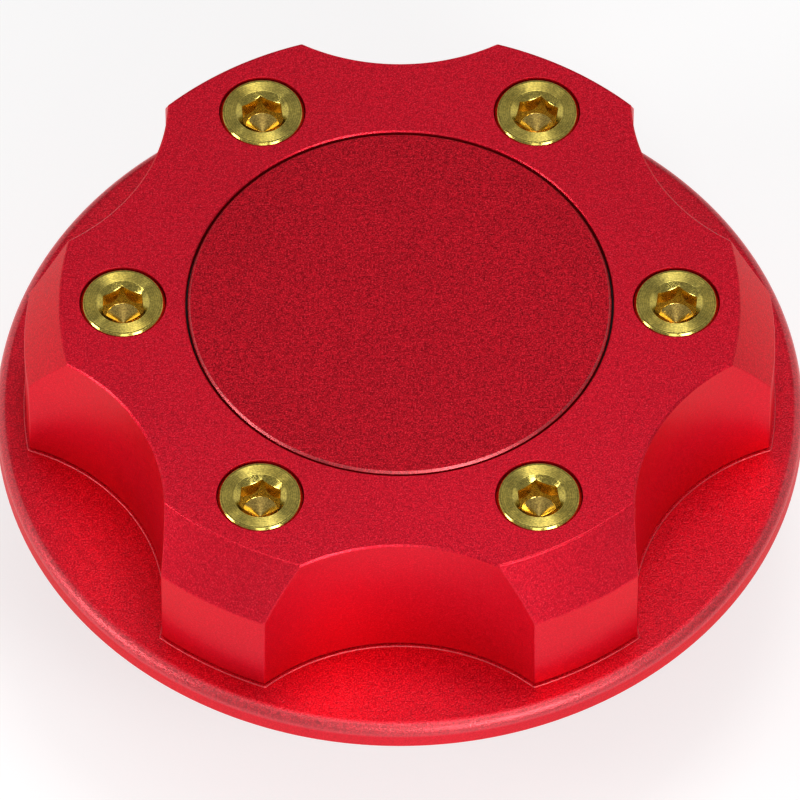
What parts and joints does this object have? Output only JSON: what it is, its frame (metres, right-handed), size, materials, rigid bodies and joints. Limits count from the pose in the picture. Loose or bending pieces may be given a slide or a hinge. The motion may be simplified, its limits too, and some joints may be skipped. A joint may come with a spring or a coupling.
{
  "type": "fuel tank filler cap",
  "caption": "Screw-in filler cap for a motorcycle fuel tank: lobed metal knob on a round flange, with a ratcheting threaded neck plug and a tank vent valve.",
  "frame": {"origin": "on the cap's axis, in the plane where the neck gasket meets the rim of the filler neck", "axes": "+Z along the cap's axis, out of the tank towards the flat top of the knob; +X through one lobe and its screw"},
  "size_m": [0.0822, 0.0822, 0.0415],
  "materials": {
    "red_anodised": "red anodised aluminium, bead blasted",
    "red_disc": "red anodised aluminium, finer and darker than the knob",
    "gold_screw": "gold coloured socket screw, turned head",
    "nitrile": "black nitrile rubber",
    "seal_rubber": "brown-black fluorocarbon rubber",
    "dark_steel": "phosphated steel",
    "acetal": "natural acetal",
    "spring_steel": "stainless spring wire and strip",
    "stainless": "polished stainless steel",
    "bronze": "sintered and turned bronze",
    "valve_brass": "turned brass",
    "black_nylon": "black glass-filled nylon",
    "plain_aluminium": "turned aluminium, clear anodised"
  },
  "bodies": {
    "plug": {"filler_plug": "black_nylon", "drive_hub": "plain_aluminium", "hub_screws": "stainless", "neck_gasket": "nitrile", "vent_filter": "bronze", "valve_body": "valve_brass", "valve_oring": "nitrile", "valve_seal": "seal_rubber", "spring_retainer": "valve_brass", "pressure_spring": "spring_steel", "ball_cage": "black_nylon", "pawl_ring": "acetal", "thrust_washer": "bronze", "retaining_clip": "dark_steel"},
    "knob": {"grip_knob": "red_anodised", "center_disc": "red_disc", "disc_oring": "nitrile", "cap_screws": "gold_screw", "base_flange": "red_anodised", "ratchet_ring": "dark_steel", "wave_washer": "spring_steel"},
    "pressure_valve": {"pressure_valve": "stainless", "vacuum_spring": "spring_steel"},
    "vacuum_valve": {"vacuum_valve": "acetal", "spring_cup": "dark_steel"},
    "rollover_ball": {"rollover_ball": "stainless"}
  },
  "joints": [
    {"name": "ratchet_spin", "type": "hinge", "parent": "plug", "child": "knob", "pos_m": [0, 0, 0.0075], "axis": [0, 0, 1], "continuous": true},
    {"name": "pressure_lift", "type": "slide", "parent": "plug", "child": "pressure_valve", "axis": [0, 0, 1], "range_m": [0, 0.0015], "stiffness_N_per_m": 900, "springref_m": -0.0035, "deforming": ["pressure_spring"]},
    {"name": "vacuum_drop", "type": "slide", "parent": "pressure_valve", "child": "vacuum_valve", "axis": [0, 0, -1], "range_m": [0, 0.0008], "stiffness_N_per_m": 120, "springref_m": -0.002, "deforming": ["vacuum_spring"]},
    {"name": "ball_lift", "type": "slide", "parent": "plug", "child": "rollover_ball", "axis": [0, 0, 1], "range_m": [0, 0.00145]}
  ]
}
